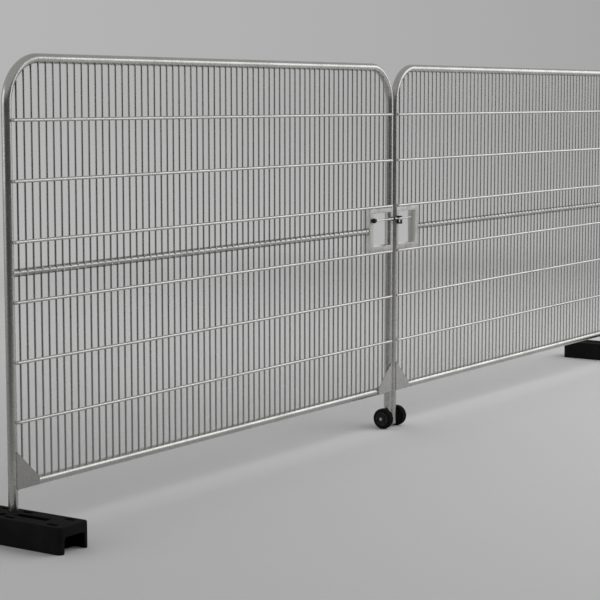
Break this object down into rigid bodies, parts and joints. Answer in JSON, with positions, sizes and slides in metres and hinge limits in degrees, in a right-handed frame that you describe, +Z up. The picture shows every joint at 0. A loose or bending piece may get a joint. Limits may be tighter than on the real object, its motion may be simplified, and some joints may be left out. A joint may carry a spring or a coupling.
{
  "type": "double-leaf mesh site gate",
  "caption": "Round-top wire mesh site gate whose leaves turn in rubber block feet, roll on wheels under their free posts and join at lock boxes with a slide bolt.",
  "frame": {"origin": "on the ground under the middle of the closed gate, between the free posts", "axes": "+X along the gate towards the right leaf, +Y to the back, +Z up"},
  "size_m": [6.335, 0.728, 2],
  "materials": {
    "galvanised_steel": "hot-dip galvanised, satin grey with bright streaks",
    "zinc_hardware": "bright zinc plate",
    "black_steel": "satin black paint",
    "black_plastic": "moulded, fine grain",
    "tyre_rubber": "solid rubber, matte",
    "foot_rubber": "recycled rubber, matte and slightly grainy",
    "bush_nylon": "natural nylon"
  },
  "bodies": {
    "feet": {"left_foot": "foot_rubber", "right_foot": "foot_rubber"},
    "left_leaf": {"left_frame_tube": "galvanised_steel", "left_bottom_rail": "galvanised_steel", "left_middle_rail": "galvanised_steel", "left_vertical_wires": "galvanised_steel", "left_lock_wires": "galvanised_steel", "left_horizontal_wires": "galvanised_steel", "left_outer_gusset": "galvanised_steel", "left_inner_gusset": "galvanised_steel", "left_lock_box": "galvanised_steel", "left_axle": "zinc_hardware", "left_axle_spacer": "zinc_hardware", "left_axle_washer": "black_steel", "left_axle_nut": "zinc_hardware", "post_guide": "black_steel", "knob_guide": "black_steel"},
    "right_leaf": {"right_frame_tube": "galvanised_steel", "right_bottom_rail": "galvanised_steel", "right_middle_rail": "galvanised_steel", "right_vertical_wires": "galvanised_steel", "right_lock_wires": "galvanised_steel", "right_horizontal_wires": "galvanised_steel", "right_outer_gusset": "galvanised_steel", "right_inner_gusset": "galvanised_steel", "right_lock_box": "galvanised_steel", "right_axle": "zinc_hardware", "right_axle_spacer": "zinc_hardware", "right_axle_washer": "black_steel", "right_axle_nut": "zinc_hardware", "keeper": "black_steel"},
    "left_wheel": {"left_tyre": "tyre_rubber", "left_wheel_centre": "black_plastic", "left_wheel_bush": "bush_nylon"},
    "right_wheel": {"right_tyre": "tyre_rubber", "right_wheel_centre": "black_plastic", "right_wheel_bush": "bush_nylon"},
    "lock_bolt": {"bolt_rod": "zinc_hardware", "bolt_knob": "black_plastic", "bolt_stop_pin": "zinc_hardware"}
  },
  "joints": [
    {"name": "left_leaf_swing", "type": "hinge", "parent": "feet", "child": "left_leaf", "pos_m": [-3.0425, 0, 0.06], "axis": [0, 0, -1], "range_deg": [0, 100]},
    {"name": "right_leaf_swing", "type": "hinge", "parent": "feet", "child": "right_leaf", "pos_m": [3.0425, 0, 0.06], "axis": [0, 0, -1], "range_deg": [0, 100]},
    {"name": "left_wheel_spin", "type": "hinge", "parent": "left_leaf", "child": "left_wheel", "pos_m": [-0.0709, 0, 0.056], "axis": [1, 0, 0], "continuous": true},
    {"name": "right_wheel_spin", "type": "hinge", "parent": "right_leaf", "child": "right_wheel", "pos_m": [0.0709, 0, 0.056], "axis": [1, 0, 0], "continuous": true},
    {"name": "bolt_slide", "type": "slide", "parent": "left_leaf", "child": "lock_bolt", "axis": [-1, 0, 0], "range_m": [0, 0.175]}
  ]
}
